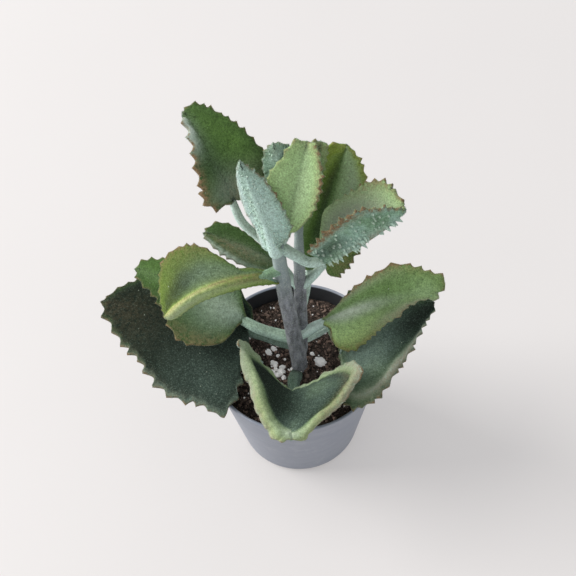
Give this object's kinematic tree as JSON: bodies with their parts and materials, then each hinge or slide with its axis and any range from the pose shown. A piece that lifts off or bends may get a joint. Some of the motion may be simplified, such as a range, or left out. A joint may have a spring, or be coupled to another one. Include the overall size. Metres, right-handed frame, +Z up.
{
  "type": "potted kalanchoe",
  "caption": "Young succulent with a main stem and a side shoot, felted and toothed leaves folded along their midribs, in a round tapered nursery pot filled with potting mix.",
  "frame": {"origin": "centre of the pot's flat underside, on the surface that it stands on", "axes": "+Z up along the pot's axis, +X to the right and +Y to the back as the picture shows the plant"},
  "size_m": [0.2046, 0.1184, 0.2419],
  "materials": {
    "pot_plastic": "satin",
    "potting_mix": "rough",
    "stem_skin": "matt",
    "leaf_felt": "matt"
  },
  "bodies": {
    "root": {"pot": "pot_plastic", "soil": "potting_mix", "stem": "stem_skin", "leaf_upper_left": "leaf_felt", "leaf_upper_right": "leaf_felt", "leaf_crown_front": "leaf_felt", "leaf_crown_back": "leaf_felt", "leaf_bud_front": "leaf_felt", "leaf_bud_back": "leaf_felt", "leaf_shoot_back": "leaf_felt", "leaf_shoot_left": "leaf_felt", "leaf_shoot_right": "leaf_felt", "leaf_middle_left": "leaf_felt", "leaf_lower_left": "leaf_felt", "leaf_lower_right": "leaf_felt", "leaf_base_front": "leaf_felt", "leaf_base_left": "leaf_felt", "leaf_base_right": "leaf_felt"}
  },
  "joints": []
}
